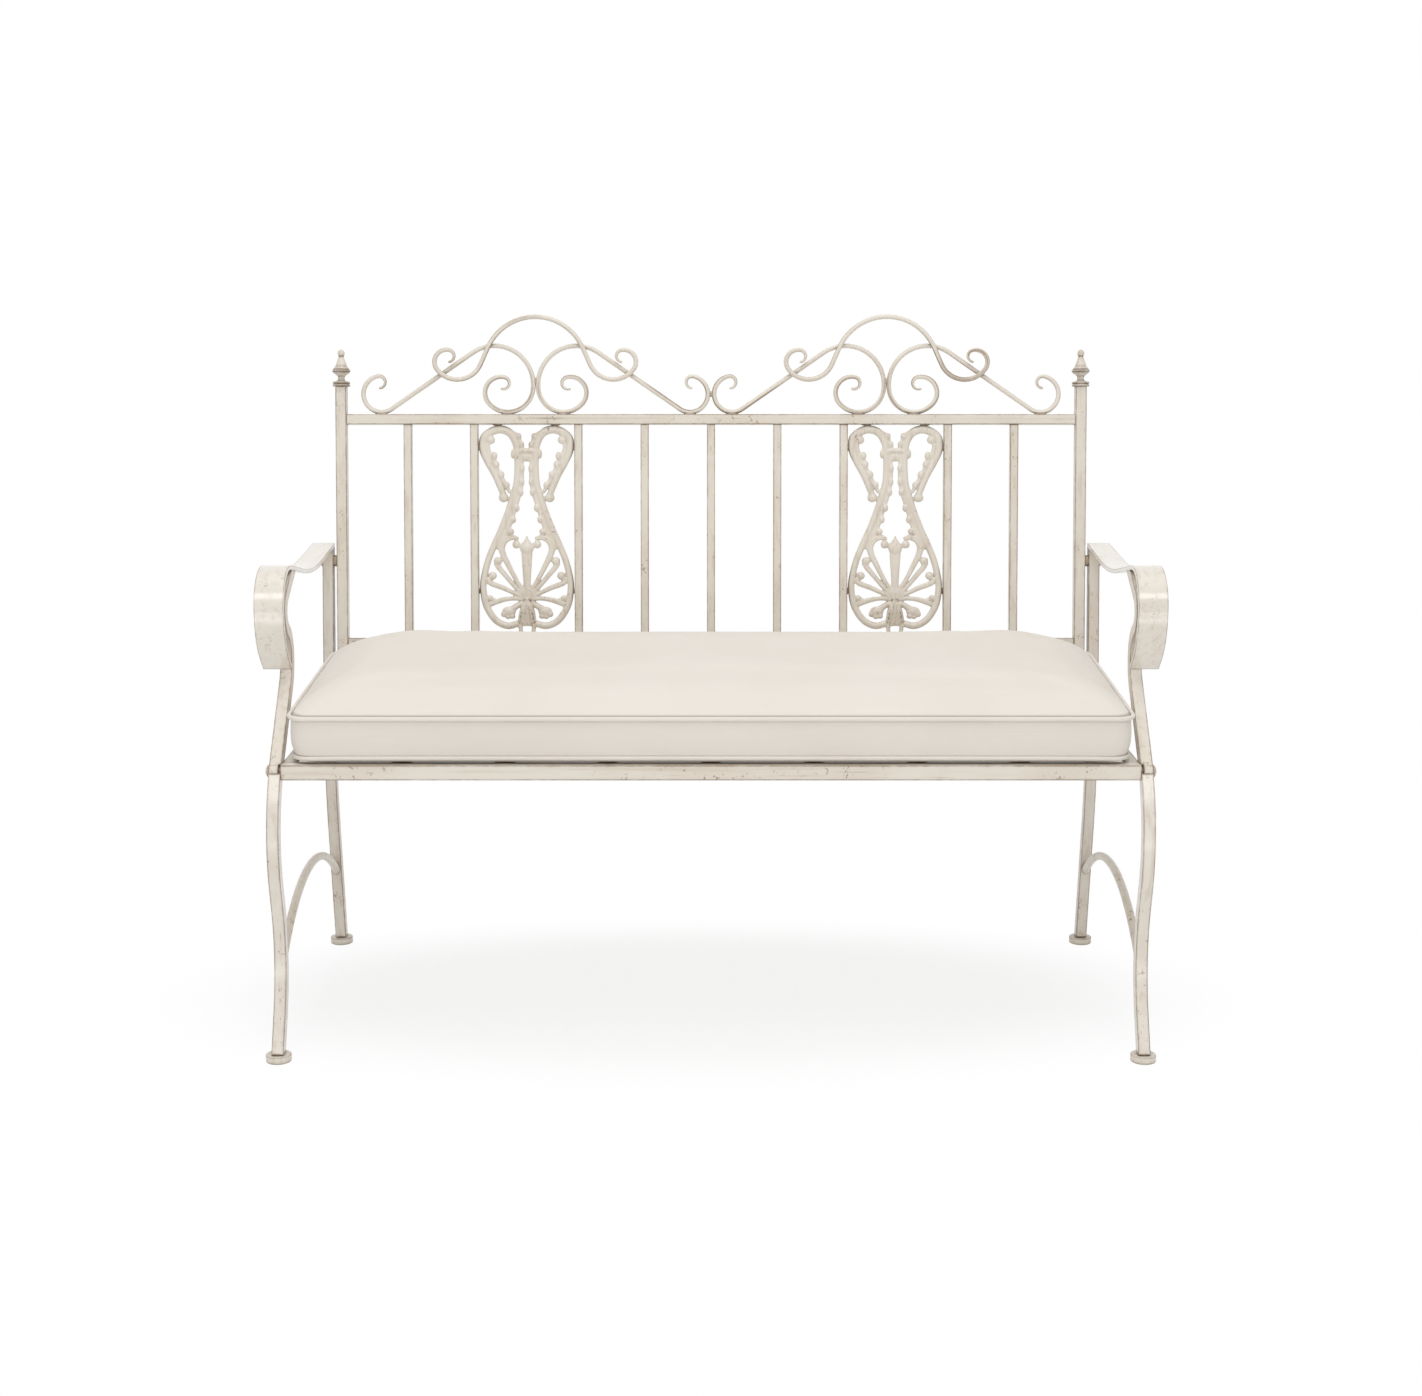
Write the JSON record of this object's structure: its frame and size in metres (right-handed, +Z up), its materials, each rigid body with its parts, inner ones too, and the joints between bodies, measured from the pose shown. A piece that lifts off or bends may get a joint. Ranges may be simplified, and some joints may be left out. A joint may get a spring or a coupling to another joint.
{
  "type": "garden bench",
  "caption": "Wrought iron garden bench with a scrolled crest, cast lyre panels in the back, rolled strap armrests and a loose piped box cushion that lifts off the seat.",
  "frame": {"origin": "on the floor, under the middle of the bench's outer box", "axes": "+X along the bench to the right seen from the front, -Y to the front, +Z up"},
  "size_m": [1.2176, 0.5812, 0.9655],
  "materials": {
    "iron_paint": "antique cream paint, satin, rubbed back to brown on the edges",
    "cast_iron_paint": "antique cream paint on cast iron, satin, brown in the hollows",
    "cushion_fabric": "matt woven beige",
    "piping_fabric": "matt woven beige",
    "foam": "matt foam"
  },
  "bodies": {
    "frame": {"arm_bolts": "iron_paint", "arm_spacers": "iron_paint", "back_bottom_rail": "iron_paint", "back_top_rail": "iron_paint", "eye_spacers": "iron_paint", "left_arm_support": "iron_paint", "left_armrest": "iron_paint", "left_back_post": "iron_paint", "left_casting": "cast_iron_paint", "left_crest_arch": "iron_paint", "left_crest_left_scroll": "iron_paint", "left_crest_right_scroll": "iron_paint", "left_finial": "iron_paint", "left_front_foot": "iron_paint", "left_front_leg": "iron_paint", "left_rear_foot": "iron_paint", "left_rear_leg": "iron_paint", "left_seat_side_rail": "iron_paint", "left_stretcher": "iron_paint", "post_bolts": "iron_paint", "right_arm_support": "iron_paint", "right_armrest": "iron_paint", "right_back_post": "iron_paint", "right_casting": "cast_iron_paint", "right_crest_arch": "iron_paint", "right_crest_left_scroll": "iron_paint", "right_crest_right_scroll": "iron_paint", "right_finial": "iron_paint", "right_front_foot": "iron_paint", "right_front_leg": "iron_paint", "right_rear_foot": "iron_paint", "right_rear_leg": "iron_paint", "right_seat_side_rail": "iron_paint", "right_stretcher": "iron_paint", "seat_bolts": "iron_paint", "seat_front_rail": "iron_paint", "seat_rail_plugs": "iron_paint", "seat_rear_rail": "iron_paint", "seat_slat_1": "iron_paint", "seat_slat_2": "iron_paint", "seat_slat_3": "iron_paint", "seat_slat_4": "iron_paint", "seat_slat_5": "iron_paint", "seat_slat_6": "iron_paint", "seat_slat_7": "iron_paint", "spindle_1": "iron_paint", "spindle_2": "iron_paint", "spindle_3": "iron_paint", "spindle_4": "iron_paint", "spindle_5": "iron_paint", "spindle_6": "iron_paint", "spindle_7": "iron_paint", "spindle_8": "iron_paint", "spindle_9": "iron_paint"},
    "cushion": {"cushion_bottom_piping": "piping_fabric", "cushion_cover": "cushion_fabric", "cushion_foam": "foam", "cushion_top_piping": "piping_fabric"}
  },
  "joints": [
    {"name": "cushion_lift", "type": "slide", "parent": "frame", "child": "cushion", "axis": [0, 0, 1], "range_m": [0, 0.28]}
  ]
}
